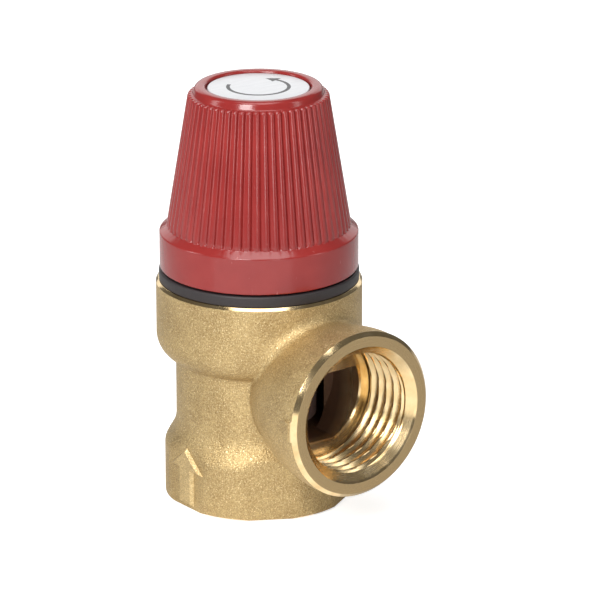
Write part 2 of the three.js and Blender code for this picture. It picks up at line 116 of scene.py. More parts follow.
# ------------------------------------------------------------------ shader expressions
class Val:
    """A shader socket that takes part in arithmetic; each operation adds a Math node."""

    def __init__(self, tree, socket):
        self.tree = tree
        self.socket = socket

    def math(self, operation, *terms):
        """One Math node over the given terms."""
        node = self.tree.nodes.new("ShaderNodeMath")
        node.operation = operation
        for place, term in enumerate(terms):
            if isinstance(term, Val):
                self.tree.links.new(term.socket, node.inputs[place])
            else:
                node.inputs[place].default_value = term
        return Val(self.tree, node.outputs[0])

    def __add__(self, other):
        return self.math("ADD", self, other)

    __radd__ = __add__

    def __sub__(self, other):
        return self.math("SUBTRACT", self, other)

    def __rsub__(self, other):
        return self.math("SUBTRACT", other, self)

    def __mul__(self, other):
        return self.math("MULTIPLY", self, other)

    __rmul__ = __mul__

    def __truediv__(self, other):
        return self.math("DIVIDE", self, other)

    def __pow__(self, other):
        return self.math("POWER", self, other)

    def __lt__(self, other):
        return self.math("LESS_THAN", self, other)

    def __gt__(self, other):
        return self.math("GREATER_THAN", self, other)

    def magnitude(self):
        return self.math("ABSOLUTE", self)

    def clamp(self):
        node = self.tree.nodes.new("ShaderNodeClamp")
        self.tree.links.new(self.socket, node.inputs[0])
        return Val(self.tree, node.outputs[0])

    def ramp(self, low, high):
        """0 below low, 1 above high, straight between."""
        return ((self - low) / (high - low)).clamp()


class Finish:
    """A material under construction: a Principled shader and the nodes that feed it."""

    def __init__(self, name, **constants):
        self.material = bpy.data.materials.new(name)
        self.material.use_nodes = True
        self.tree = self.material.node_tree
        self.tree.nodes.clear()
        self.shader = self.tree.nodes.new("ShaderNodeBsdfPrincipled")
        self.output = self.tree.nodes.new("ShaderNodeOutputMaterial")
        self.tree.links.new(self.shader.outputs[0], self.output.inputs[0])
        for socket, value in constants.items():
            self.shader.inputs[socket.replace("_", " ")].default_value = value
        self.place = self.node("ShaderNodeTexCoord", out="Object")

    def node(self, kind, settings=None, inputs=None, out=0):
        """Adds a node: its settings first, then the values or links of its sockets."""
        node = self.tree.nodes.new(kind)
        for key, value in (settings or {}).items():
            setattr(node, key, value)
        for key, value in (inputs or {}).items():
            if isinstance(value, Val):
                self.tree.links.new(value.socket, node.inputs[key])
            else:
                node.inputs[key].default_value = value
        return Val(self.tree, node.outputs[out])

    def axes(self):
        """The three Object coordinates as separate values, in metres."""
        node = self.tree.nodes.new("ShaderNodeSeparateXYZ")
        self.tree.links.new(self.place.socket, node.inputs[0])
        return [Val(self.tree, socket) for socket in node.outputs]

    def noise(self, grain_mm, detail=2.0, rough=0.5, stretch=None):
        """Noise whose features measure about grain_mm; stretch squeezes it along the axes."""
        vector = self.place
        if stretch:
            vector = self.node("ShaderNodeMapping", inputs={"Vector": vector, "Scale": stretch})
        return self.node("ShaderNodeTexNoise", inputs={
            "Vector": vector, "Scale": 1 / (grain_mm * MM), "Detail": detail, "Roughness": rough})

    def blend(self, factor, first, second):
        """Colour first where factor is 0, second where it is 1."""
        return self.node("ShaderNodeMix", {"data_type": "RGBA"}, {0: factor, 6: first, 7: second},
                         out=2)

    def bump(self, height, distance_mm, strength=1.0, below=None):
        """Bump from a height of 0 to 1 that stands for distance_mm."""
        inputs = {"Height": height, "Distance": distance_mm * MM, "Strength": strength}
        if below is not None:
            inputs["Normal"] = below
        return self.node("ShaderNodeBump", inputs=inputs)

    def feed(self, socket, value):
        self.tree.links.new(value.socket, self.shader.inputs[socket])


def rgb(red, green, blue):
    """sRGB in 0 to 255 as a linear colour with alpha."""
    def linear(value):
        value /= 255
        return value / 12.92 if value <= 0.04045 else ((value + 0.055) / 1.055) ** 2.4
    return (linear(red), linear(green), linear(blue), 1.0)


def cast_brass(name, dark, pale):
    """Shot-blasted brass: fine pits, broad patches of tone, darker low grains, and glints of painted
    highlight mixed into the colour.
    """
    finish = Finish(name, Metallic=0.8)
    pits = finish.noise(0.24, detail=2.0, rough=0.6)
    dents = finish.node("ShaderNodeTexVoronoi", {"feature": "F1"}, {
        "Vector": finish.place, "Scale": 1 / (0.3 * MM), "Randomness": 1.0})
    patches = finish.noise(4.0, detail=3.0)
    # painted highlight: near-white glints mixed into the base colour, with the roughness lowered there
    painted_glints = finish.noise(0.17, detail=1.0).ramp(0.6, 0.72)
    tone = (pits.ramp(0.3, 0.7) * 0.75 + patches.ramp(0.3, 0.7) * 0.25).clamp()
    body = finish.blend(tone, dark, pale)
    finish.feed("Base Color", finish.blend(painted_glints * 0.7, body, rgb(252, 232, 184)))
    finish.feed("Roughness", pits.ramp(0.3, 0.7) * 0.2 + 0.42 - painted_glints * 0.15)
    undulation = finish.noise(2.2, detail=2.0)
    height = finish.bump(undulation, 0.12)
    grain = pits * 0.6 + dents.ramp(0.0, 0.8) * 0.4
    finish.feed("Normal", finish.bump(grain, 0.12, below=height))
    return finish.material


def turned_brass():
    """Freshly turned brass: fine tool rings round the axis it was turned about, and painted shade
    inside the valve, where it turns a darker, duller brown.

    The rings are noise over distance from the axis and place along it: about the outlet axis
    beyond the head, and about the valve axis elsewhere.
    """
    finish = Finish("turned_brass")
    x, y, z = finish.axes()
    up = z - OUTLET_Z * MM
    across, about = (x * x + y * y) ** 0.5, (y * y + up * up) ** 0.5
    on_branch = x > 0.0148
    radial = about * on_branch + across * (1.0 - on_branch)
    axial = x * on_branch + z * (1.0 - on_branch)
    rings = finish.node("ShaderNodeCombineXYZ", inputs={0: radial, 1: axial, 2: 0.0})
    tool = finish.node("ShaderNodeTexNoise", inputs={
        "Vector": rings, "Scale": 1 / (0.1 * MM), "Detail": 2.0, "Roughness": 0.5})
    stain = finish.noise(3.0, detail=3.0)
    # painted shade: within 12.5 mm of the valve axis and between 11 and 33 mm up, the brass is a
    # darker, less metallic, rougher brown
    inside = (1.0 - across.ramp(0.0125, 0.0165)) * z.ramp(0.0095, 0.011) * (1.0 - z.ramp(0.033, 0.034))
    faced = x > OUTLET_X * MM - 0.00004
    bore = on_branch * (about < 0.0104)
    bare = finish.blend(stain.ramp(0.35, 0.7), rgb(220, 190, 138), rgb(244, 218, 170))
    bare = finish.blend(faced, bare, rgb(172, 148, 108))
    # the brown mixed in here is the painted shade inside the valve
    finish.feed("Base Color", finish.blend(inside, bare, rgb(116, 88, 68)))
    finish.feed("Metallic", 1.0 - inside * 0.75)
    finish.feed("Roughness", tool * 0.1 + stain * 0.1 + 0.05 + inside * 0.3 + faced * 0.12
                + bore * 0.1)
    finish.feed("Normal", finish.bump(tool, 0.004))
    return finish.material


def red_plastic():
    """Moulded red plastic with satin gloss, faint flow marks and a few pale scuffs."""
    finish = Finish("red_plastic", Metallic=0.0, IOR=1.5)
    height = finish.axes()[2]
    broad = finish.noise(6.0, detail=2.0)
    grain = finish.noise(0.25, detail=2.0)
    scuff = finish.noise(1.3, detail=4.0, rough=0.75, stretch=(1.0, 1.0, 0.35)).ramp(0.66, 0.74)
    worn = scuff * (1.0 - height.ramp(0.046, 0.058)) * 0.5
    moulded = finish.blend(broad.ramp(0.3, 0.7), rgb(134, 38, 36), rgb(144, 45, 42))
    finish.feed("Base Color", finish.blend(worn, moulded, rgb(205, 130, 124)))
    finish.feed("Roughness", grain * 0.08 + 0.13 + worn * 0.3)
    finish.feed("Normal", finish.bump(grain, 0.008))
    return finish.material


def black_plastic(name, dark, pale):
    """Glass-filled nylon: near black with a dull, slightly mottled skin."""
    finish = Finish(name, Metallic=0.0)
    grain = finish.noise(0.18, detail=3.0)
    finish.feed("Base Color", finish.blend(grain, dark, pale))
    finish.feed("Roughness", grain * 0.2 + 0.42)
    finish.feed("Normal", finish.bump(grain, 0.02))
    return finish.material


def black_rubber():
    """Moulded rubber: dull black with a fine bloom."""
    finish = Finish("black_rubber", Metallic=0.0)
    bloom = finish.noise(0.8, detail=3.0)
    finish.feed("Base Color", finish.blend(bloom, rgb(24, 24, 25), rgb(46, 45, 46)))
    finish.feed("Roughness", bloom * 0.2 + 0.6)
    finish.feed("Normal", finish.bump(bloom, 0.02))
    return finish.material


def steel(name, low, high, grain_mm, roughness):
    """Steel with a fine directional grain."""
    finish = Finish(name, Metallic=1.0)
    grain = finish.noise(grain_mm, detail=3.0, stretch=(1.0, 1.0, 0.25))
    finish.feed("Base Color", finish.blend(grain, low, high))
    finish.feed("Roughness", grain * 0.15 + roughness)
    finish.feed("Normal", finish.bump(grain, 0.01))
    return finish.material


def label_foil():
    """Silver foil with a plain turn arrow: a broken ring whose head points anticlockwise."""
    finish = Finish("label_foil")
    x, y = finish.axes()[:2]
    radius = (x * x + y * y) ** 0.5 * (1 / MM)
    angle = y.math("ARCTAN2", y, x)
    sheen = finish.noise(0.3, detail=2.0, stretch=(1.0, 0.1, 1.0))
    off_centre = (radius - 4.6).magnitude()
    arc = (off_centre < 0.28) * (angle > -2.5) * (angle < 1.9)
    along = angle - 1.85
    head = (along > 0.0) * (along < 0.42) * (off_centre < (0.42 - along) * 2.6)
    printed = (arc + head).clamp()
    silver = finish.blend(sheen, rgb(205, 206, 209), rgb(232, 233, 235))
    finish.feed("Base Color", finish.blend(printed, silver, rgb(40, 40, 44)))
    finish.feed("Metallic", (1.0 - printed) * 0.6)
    finish.feed("Roughness", sheen * 0.15 + 0.28)
    finish.feed("Normal", finish.bump(printed, 0.01))
    return finish.material


# ------------------------------------------------------------------ meshes from numpy grids
def new_object(name, vertices, faces, material, body, sharp_degrees=35):
    """A smooth-shaded mesh object, with edges sharper than sharp_degrees kept crisp."""
    mesh = bpy.data.meshes.new(name)
    mesh.from_pydata(vertices.tolist(), [], faces)
    mesh.validate()
    mesh.shade_smooth()
    mesh.set_sharp_from_angle(angle=math.radians(sharp_degrees))
    piece = bpy.data.objects.new(name, mesh)
    bpy.context.scene.collection.objects.link(piece)
    if material is not None:
        mesh.materials.append(material)
    if body is not None:
        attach(piece, body)
    return piece


def grid_faces(rows, columns, row_wrap=False):
    """Quads of a grid whose columns close on themselves, and whose rows may too."""
    last = rows if row_wrap else rows - 1
    row, column = np.meshgrid(np.arange(last), np.arange(columns), indexing="ij")
    next_row = (row + 1) % rows
    next_column = (column + 1) % columns
    return np.stack([row * columns + column, row * columns + next_column,
                     next_row * columns + next_column, next_row * columns + column],
                    axis=-1).reshape(-1, 4)


def shell(name, points, material, body, ring=False, sharp_degrees=35):
    """Closed surface from points[row, column, xyz] in mm.

    Columns go once round. With ring, the rows go once round too. Otherwise the first and last
    rows shrink to one point each, which closes the shape with a fan.
    """
    rows, columns = points.shape[:2]
    if ring:
        vertices = points.reshape(-1, 3)
        faces = grid_faces(rows, columns, row_wrap=True).tolist()
    else:
        inner = points[1:-1]
        vertices = np.vstack([inner.reshape(-1, 3), points[0].mean(0), points[-1].mean(0)])
        count = (rows - 2) * columns
        here = np.arange(columns)
        there = (here + 1) % columns
        top = (rows - 3) * columns
        first_fan = np.stack([there, here, np.full(columns, count)], axis=1)
        last_fan = np.stack([top + here, top + there, np.full(columns, count + 1)], axis=1)
        faces = grid_faces(rows - 2, columns).tolist() + first_fan.tolist() + last_fan.tolist()
    return new_object(name, vertices * MM, faces, material, body, sharp_degrees)


def outline(corners, steps=4):
    """Profile through corners (r, z) or (r, z, fillet), each fillet an arc of that radius."""
    path = []
    for place, corner in enumerate(corners):
        here = np.array(corner[:2], float)
        fillet = corner[2] if len(corner) > 2 else 0.0
        if fillet == 0.0:
            path.append(here)
            continue
        before = np.array(corners[place - 1][:2], float) - here
        after = np.array(corners[(place + 1) % len(corners)][:2], float) - here
        reach_before, reach_after = np.linalg.norm(before), np.linalg.norm(after)
        before, after = before / reach_before, after / reach_after
        half_angle = math.acos(np.clip(before @ after, -1, 1)) / 2
        setback = min(fillet / math.tan(half_angle), 0.49 * reach_before, 0.49 * reach_after)
        radius = setback * math.tan(half_angle)
        bisector = (before + after) / np.linalg.norm(before + after)
        centre = here + bisector * radius / math.sin(half_angle)
        start, end = here + before * setback - centre, here + after * setback - centre
        sweep = math.atan2(start[0] * end[1] - start[1] * end[0], start @ end)
        for step in range(steps + 1):
            angle = sweep * step / steps
            path.append(centre + [start[0] * math.cos(angle) - start[1] * math.sin(angle),
                                  start[0] * math.sin(angle) + start[1] * math.cos(angle)])
    return np.array(path)


def revolve(profile, columns):
    """points[row, column, xyz]: the profile of (r, z) turned once about Z."""
    angle = np.arange(columns) * TURN / columns
    r, z = profile[:, 0, None], profile[:, 1, None]
    return np.stack([r * np.cos(angle), r * np.sin(angle), z + 0 * angle], axis=-1)


def onto_outlet(points):
    """Carries points made about Z, from the inlet face up, to the outlet axis along +X."""
    return np.stack([points[..., 2], points[..., 1], OUTLET_Z - points[..., 0]], axis=-1)


def turned(name, corners, material, body, columns=96, ring=False):
    """A turned piece: its profile of corners revolved about Z."""
    return shell(name, revolve(outline(corners), columns), material, body, ring)


def smooth_min(first, second, reach):
    """Smaller of two distances, blended over reach where they are close."""
    mix = np.clip(0.5 + 0.5 * (second - first) / reach, 0, 1)
    return second + (first - second) * mix - reach * mix * (1 - mix)


def smooth_max(first, second, reach):
    return -smooth_min(-first, -second, reach)


def smooth_step(value, low, high):
    share = np.clip((value - low) / (high - low), 0, 1)
    return share * share * (3 - 2 * share)


# ------------------------------------------------------------------ brass casting
def offset(corners, reach):
    """Corners of a closed outline moved outward by reach, its sides kept parallel."""
    side = np.roll(corners, -1, axis=0) - corners
    side /= np.linalg.norm(side, axis=1)[:, None]
    normal = np.stack([side[:, 1], -side[:, 0]], axis=1)
    before = np.roll(normal, 1, axis=0)
    bisector = normal + before
    return corners + reach * bisector / (1 + (normal * before).sum(1))[:, None]


def flow_arrow(material):
    """Arrow that points up, raised on the flat of the boss that faces -Y, with sloping sides."""
    shaft, head, foot, neck, tip = 1.4, 3.3, 0.8, 6.4, 9.3
    corners = np.array([(-shaft, foot), (shaft, foot), (shaft, neck), (head, neck), (0, tip),
                        (-head, neck), (-shaft, neck)])
    layers = [(0.3, -0.6), (0.3, 0.0), (0.0, 0.42), (-0.12, 0.5)]
    points = np.stack([np.stack([edge[:, 0], np.full(7, -HEX_FLAT - rise), edge[:, 1]], axis=-1)
                       for reach, rise in layers for edge in [offset(corners, reach)]])
    last = 7 * (len(layers) - 1)
    faces = grid_faces(len(layers), 7).tolist()
    faces += [list(range(6, -1, -1)), list(range(last, last + 7))]
    return new_object("flow_arrow", points.reshape(-1, 3) * MM, faces, material, None)


def casting_distance(place):
    """Distance in mm to the rough casting, negative inside.

    The boss is six flats trimmed by a cylinder and drawn in by a cone. The neck is a cylinder,
    the head a cylinder with a rounded underside, and the branch a swelling body of revolution
    about the outlet axis. They are blended where they meet, widest under the head.
    """
    x, y, z = place[..., 0], place[..., 1], place[..., 2]
    r = np.hypot(x, y)
    flats = -np.inf * np.ones_like(r)
    for turn in range(6):
        angle = math.radians(30 + 60 * turn)
        side = x * math.cos(angle) + y * math.sin(angle) - HEX_FLAT
        flats = side if turn == 0 else smooth_max(flats, side, 0.2)
    boss = smooth_max(flats, r - BOSS_R, 0.25)
    slope = (BOSS_R - NECK_R) / (NECK_LOW - BOSS_TOP)
    cone = (r - BOSS_R + (z - BOSS_TOP) * slope) / math.hypot(1, slope)
    boss = smooth_max(boss, cone, 0.3)
    boss = np.maximum(boss, z - NECK_LOW - 2)
    neck = r - NECK_R
    round_r = HEAD_R - HEAD_UNDER_ROUND
    corner = np.stack([r - round_r, HEAD_UNDER_CENTRE - z], axis=-1)
    head = (np.linalg.norm(np.maximum(corner, 0), axis=-1)
            + np.minimum(corner.max(-1), 0) - HEAD_UNDER_ROUND)
    axial = smooth_min(smooth_min(neck, boss, 0.8), head, 0.6)
    back = np.clip(22.5 - x, 0, 20)
    branch_r = RIM_R - 0.075 * back - 0.018 * back ** 2
    branch = (np.hypot(y, z - OUTLET_Z) - branch_r) * 0.9
    branch = np.where(x < 0, 30.0, branch)
    reach = 0.6 + 1.9 * smooth_step(z, 24, 29)
    pad = np.maximum.reduce([np.abs(x - PAD_X) - 0.75, np.abs(z - OUTLET_Z) - 1.6,
                             np.abs(y + RIM_R - 0.3) - 0.65])
    return smooth_min(smooth_min(axial, branch, reach), pad, 0.15)


def casting_skin():
    """The rough casting as one closed surface.

    From a point inside, every direction meets the skin once. The meeting point is found by
    halving the interval where the distance changes sign.
    """
    rows, columns = 200, 460
    centre = np.array([4.0, 0.0, OUTLET_Z])
    share = np.linspace(0, 1, rows)
    # rows gather between the head's edge and the boss's foot, where the skin is kept
    polar = math.pi * (share + 0.12 * np.sin(TURN * share))
    azimuth = np.arange(columns) * TURN / columns
    direction = np.stack([np.sin(polar)[:, None] * np.cos(azimuth),
                          np.sin(polar)[:, None] * np.sin(azimuth),
                          np.cos(polar)[:, None] + 0 * azimuth], axis=-1)
    near = np.zeros((rows, columns))
    far = np.full((rows, columns), 45.0)
    limit_up, limit_down, limit_out = HEAD_TOP + 1.5, -1.5, OUTLET_X + 1.5

    def distance(reach):
        place = centre + direction * reach[..., None]
        ends = np.maximum.reduce([place[..., 2] - limit_up, limit_down - place[..., 2],
                                  place[..., 0] - limit_out])
        return np.maximum(casting_distance(place), ends)

    for _ in range(26):
        middle = (near + far) / 2
        outside = distance(middle) > 0
        far = np.where(outside, middle, far)
        near = np.where(outside, near, middle)
    points = centre + direction * near[..., None]
    return points[::-1]


def thread_cutter(depth, rows_per_pitch=15, columns=144):
    """points[row, column, xyz] of a solid that cuts a female pipe thread, mouth at height zero.

    The radius is the thread's crest radius plus a wave whose phase climbs one pitch per turn,
    which makes it right handed. It dies out at the bottom and towards the mouth's chamfer.
    """
    level = np.append(np.arange(-1.2, depth - 0.05, THREAD_PITCH / rows_per_pitch), depth)
    angle = np.arange(columns) * TURN / columns
    phase = (level[:, None] / THREAD_PITCH - angle / TURN) % 1.0
    wave = np.clip(1.25 * (1 - np.abs(phase * 2 - 1)) - 0.15, 0, 1)
    fade = (smooth_step(depth - level, 0.9, 1.7) * smooth_step(level, 1.1, 2.4))[:, None]
    radius = THREAD_MINOR_R + (THREAD_MAJOR_R - THREAD_MINOR_R) * wave * fade
    radius = np.maximum(radius, MOUTH_R - level[:, None])
    side = np.stack([radius * np.cos(angle), radius * np.sin(angle),
                     level[:, None] + 0 * angle], axis=-1)
    ends = np.zeros((2, 1, columns, 3))
    ends[0, ..., 2] = level[0]
    ends[1, ..., 2] = level[-1]
    return np.concatenate([ends[0], side, ends[1]])


def window_cutter(columns=240):
    """points of the drilled way from the outlet bore into the chamber.

    Its section is a circle cut flat at the chamber floor and under the diaphragm ledge, and its
    edge in the outlet bore is broken by a small chamfer.
    """
    angle = np.arange(columns) * TURN / columns
    up = np.sin(angle)
    flat = np.where(up > 0, LEDGE_UNDER - OUTLET_Z, OUTLET_Z - CHAMBER_FLOOR)
    radius = np.minimum(WINDOW_R, flat / np.maximum(np.abs(up), 1e-6))
    bore_end = OUTLET_X - OUTLET_DEPTH
    stations = [(7.9, 0.0), (7.9, 1.0), (bore_end - 0.25, 1.0), (bore_end + 0.4, 1.07),
                (bore_end + 0.4, 0.0)]
    return np.stack([np.stack([station + 0 * angle, scale * radius * np.cos(angle),
                               OUTLET_Z + scale * radius * up], axis=-1)
                     for station, scale in stations])


def cut(target, cutters, operation="DIFFERENCE"):
    """Takes each cutter away from the target, or joins it on; faces keep their finish."""
    for cutter in cutters:
        step = target.modifiers.new("cut", "BOOLEAN")
        step.operation = operation
        step.solver = "MANIFOLD"
        step.object = cutter
        depsgraph = bpy.context.evaluated_depsgraph_get()
        result = bpy.data.meshes.new_from_object(target.evaluated_get(depsgraph))
        target.modifiers.remove(step)
        target.data = result
        bpy.data.objects.remove(cutter)
    target.data.shade_smooth()
    target.data.set_sharp_from_angle(angle=math.radians(32))


def valve_casting(rough, rubbed, bright):
    """The casting with everything that is machined into it."""
    body = shell("brass_casting", casting_skin(), rough, None)
    body.data.materials.append(rubbed)
    body.data.materials.append(bright)
    cut(body, [flow_arrow(rubbed)], "UNION")
    above, outside = HEAD_TOP + 8, HEAD_R + 0.8
    head_face = turned("head_face", [
        (0, HEAD_TOP), (HEAD_R - HEAD_CHAMFER, HEAD_TOP, 0.1),
        (HEAD_R + 0.1, HEAD_TOP - HEAD_CHAMFER_DEPTH), (outside, HEAD_TOP - HEAD_CHAMFER_DEPTH),
        (outside, above), (0, above)],
        bright, None, columns=180)
    inlet_face = turned("inlet_face", [
        (0, -4), (18, -4), (18, 0.25), (BOSS_R + 0.05, 0.25), (BOSS_R - 0.3, 0), (0, 0)],
        bright, None, columns=180)
    bore = turned("chamber_bore", [
        (0, 9.2), (SEAT_R, 9.2), (SEAT_R, SEAT_TOP, 0.1), (SEAT_R + 1, SEAT_TOP, 0.1),
        (SEAT_R + 1.45, CHAMBER_FLOOR), (CHAMBER_R, CHAMBER_FLOOR, 0.4), (CHAMBER_R, LEDGE_UNDER),
        (9.4, LEDGE_UNDER), (9.4, LEDGE_UNDER + 1.8), (HEAD_R - 2.7, LEDGE_UNDER + 1.8),
        (HEAD_R - 2.7, above), (0, above)], bright, None, columns=128)
    rim_face = shell("rim_face", onto_outlet(revolve(outline([
        (0, OUTLET_X), (RIM_R - 0.62, OUTLET_X, 0.08), (RIM_R + 0.1, OUTLET_X - 0.78),
        (16, OUTLET_X - 0.78), (16, 34), (0, 34)]), 180)), bright, None)
    thread = thread_cutter(OUTLET_DEPTH)
    outlet_thread = shell("outlet_thread", np.stack([
        OUTLET_X - thread[..., 2], thread[..., 1], OUTLET_Z + thread[..., 0]], axis=-1), bright, None)
    inlet_thread = shell("inlet_thread", thread_cutter(INLET_DEPTH), bright, None)
    window = shell("window", window_cutter(), bright, None)
    cut(body, [head_face, inlet_face, bore, rim_face, outlet_thread, inlet_thread, window])
    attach(body, "valve_body")
    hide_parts("valve_casting")
    return body


# ------------------------------------------------------------------ red knob
def knob_profile():
    """Half section of the knob in mm, from the skirt's lower edge up, over and back inside."""
    foot, top = KNOB_Z, KNOB_TOP
    skirt_top, cone_low, cone_high = foot + 5.65, foot + 6.45, top - 1.25
    return outline([
        (13.6, foot), (15.2, foot, 0.25), (15.2, skirt_top, 0.3), (14.0, cone_low, 0.15),
        (14.0, cone_low + 0.6, 0.5), (10.7, cone_high, 0.45), (9.95, cone_high, 0.3),
        (9.6, top, 0.75), (8.0, top, 0.4), (8.0, LABEL_TOP - 0.75), (7.2, LABEL_TOP - 0.75),
        (7.2, HUB_Z + 1.4), (2.9, HUB_Z + 1.4), (2.9, HUB_Z), (TOWER_BORE_R, HUB_Z),
        (TOWER_BORE_R + 0.02, CAM_FOOT), (TOWER_R - 0.02, CAM_FOOT), (TOWER_R, HUB_Z + 0.7),
        (12.4, cone_low + 0.6), (13.6, skirt_top - 1.6)], steps=5)


def knob(material):
    """The knob: a turned section whose outer cone carries rounded ribs.

    Each rib is a half-round across its pitch, so neighbours meet in a narrow groove. The ribs
    fade out on the slope below and on the shoulder above.
    """
    profile = knob_profile()
    columns = RIB_COUNT * 12      # twelve columns to a rib
    points = revolve(profile, columns)
    across = (np.arange(columns) / 12.0) % 1.0 * 2 - 1
    groove = 1 - np.sqrt(1 - (0.98 * across) ** 2)
    r, z = profile[:, 0], profile[:, 1]
    cone_low = KNOB_Z + 6.45
    on_cone = smooth_step(z, cone_low - 0.1, cone_low + 0.25) * smooth_step(r, 10.0, 10.4)
    on_cone = on_cone * (np.arange(len(z)) < len(z) * 0.6)
    inset = 0.5 * on_cone[:, None] * groove
    shrink = (r[:, None] - inset) / r[:, None]
    points[..., 0] *= shrink
    points[..., 1] *= shrink
    points[..., 2] += ramps(points) * (np.abs(z - CAM_FOOT) < 0.01)[:, None]
    piece = shell("red_knob", points, material, "knob", ring=True)
    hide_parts("knob")
    return piece


def knob_label(material):
    """Foil disc in the knob's ring, very slightly domed with a rolled edge."""
    low = LABEL_TOP - 0.5
    piece = turned("turn_label", [
        (0, low), (7.75, low), (7.75, LABEL_TOP, 0.2), (4.0, LABEL_TOP + 0.03), (0, LABEL_TOP + 0.05)],
        material, "knob", columns=128)
    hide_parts("knob_label")
    return piece


# ------------------------------------------------------------------ bonnet and inner pieces
def ramps(points):
    """Height in mm of four ramps round the axis, each rising anticlockwise over its quarter."""
    turn = np.arctan2(points[..., 1], points[..., 0]) / TURN
    return CAM_RISE * ((turn * RAMP_COUNT + 1e-6) % 1.0)


def bonnet(material):
    """Nylon bonnet: screwed skirt, flange that shows as the black band, spring tower and crown.

    The crown is the tower's top edge raised by the ramps.
    """
    flange_low, flange_high = HEAD_TOP + 0.02, KNOB_Z - 0.25
    bottom, tower_top = bonnet_low.z / MM, CROWN_Z
    points = revolve(outline([
        (8.5, bottom), (12.8, bottom, 0.3), (12.8, flange_low), (HEAD_R - 0.48, flange_low, 0.15),
        (HEAD_R - 0.48, flange_high, 0.3), (12.6, flange_high), (12.6, flange_high + 0.3),
        (TOWER_R, flange_high + 0.3, 0.5), (TOWER_R, tower_top - 0.3), (TOWER_R, tower_top, 0.2),
        (TOWER_BORE_R, tower_top), (TOWER_BORE_R, tower_top - 0.3)]), 360)
    points[..., 2] += ramps(points) * (points[..., 2] > tower_top - 0.25)
    piece = shell("nylon_bonnet", points, material, "valve_body", ring=True)
    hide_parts("bonnet")
    return piece


def ring_piece(node, bore, material):
    """A plain ring that fills a CAD node's box, its four edges rounded."""
    fillet = 0.15
    low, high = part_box(node)
    outer, bottom, top = high.y / MM, low.z / MM, high.z / MM
    return stand_in(node, [(bore, bottom, fillet), (outer, bottom, fillet), (outer, top, fillet),
                           (bore, top, fillet)], material)


def stand_in(node, corners, material):
    """A turned ring piece that stands for a CAD node and moves with its body."""
    piece = turned("smooth_" + node, corners, material, body_of[node], ring=True)
    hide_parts(node)
    return piece


def hexagon_nut(node, flats, bore, material):
    """Hexagon nut: six flats whose corners are turned off by a 30 degree cone at both ends."""
    low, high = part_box(node)
    bottom, top = low.z / MM, high.z / MM
    columns = 120
    angle = np.arange(columns) * TURN / columns
    hexagon = flats / 2 / np.cos((angle + TURN / 12) % (TURN / 6) - TURN / 12)
    corner_r = flats / 2 / math.cos(math.pi / 6)
    rings = []
    for z in (bottom, bottom + 0.15, bottom + 0.45, top - 0.45, top - 0.15, top):
        cone = flats / 2 * 0.96 + min(z - bottom, top - z) * 1.73
        rings.append((np.minimum(hexagon, min(cone, corner_r)), z))
    rings += [(bore + 0.25 + 0 * angle, top), (bore + 0 * angle, top - 0.25),
              (bore + 0 * angle, bottom + 0.25), (bore + 0.25 + 0 * angle, bottom)]
    points = np.stack([np.stack([r * np.cos(angle), r * np.sin(angle), z + 0 * angle], axis=-1)
                       for r, z in rings])
    piece = shell("smooth_" + node, points, material, body_of[node], ring=True, sharp_degrees=25)
    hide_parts(node)


def coil(name, turn_low, turn_high, material):
    """Part of the main spring, from one turn count to another.

    Round wire swept along a helix with closed end turns. Its height grows by the closed pitch
    over the first and last turn, and evenly between. The ends are closed by small caps.
    """
    low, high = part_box("main_spring")
    wire_d, turns = 1.8, 6.5
    middle_r = high.y / MM - wire_d / 2
    bottom, top = low.z / MM + wire_d / 2, high.z / MM - wire_d / 2
    closed_pitch = wire_d * 1.1
    open_pitch = (top - bottom - 2 * closed_pitch) / (turns - 2)
    steps, sides = int((turn_high - turn_low) * 72), 20
    turn = np.linspace(turn_low, turn_high, steps)
    height = bottom + closed_pitch * (np.clip(turn, 0, 1) + np.clip(turn - turns + 1, 0, 1)) + (
        open_pitch * np.clip(turn - 1, 0, turns - 2))
    round_wire = np.arange(sides) * TURN / sides
    scale = np.ones(steps)
    scale[0] = scale[-1] = 0.0
    across = middle_r + wire_d / 2 * scale[:, None] * np.cos(round_wire)
    angle = turn[:, None] * TURN
    points = np.stack([across * np.cos(angle), across * np.sin(angle),
                       height[:, None] + wire_d / 2 * scale[:, None] * np.sin(round_wire)], axis=-1)
    piece = shell(name, points[::-1], material, None)
    start, end = (0, 0, height[0] * MM), (0, 0, height[-1] * MM)
    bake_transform(piece)
    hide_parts("main_spring")


def key_slot(material):
    """Square bar turned by an eighth and stretched along X, which cuts the adjusting nut's slots."""
    eighth = [[0.707, 0.707, 0], [-0.707, 0.707, 0], [0, 0, 1]]
    bar = revolve(np.array([(0, -1.1), (1.55, -1.1), (1.55, 1), (0, 1)]), 4) @ eighth
    nut_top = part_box("adjusting_nut")[1].z / MM
    return shell("key_slot", bar * [9, 1, 1] + [0, 0, nut_top], material, None)


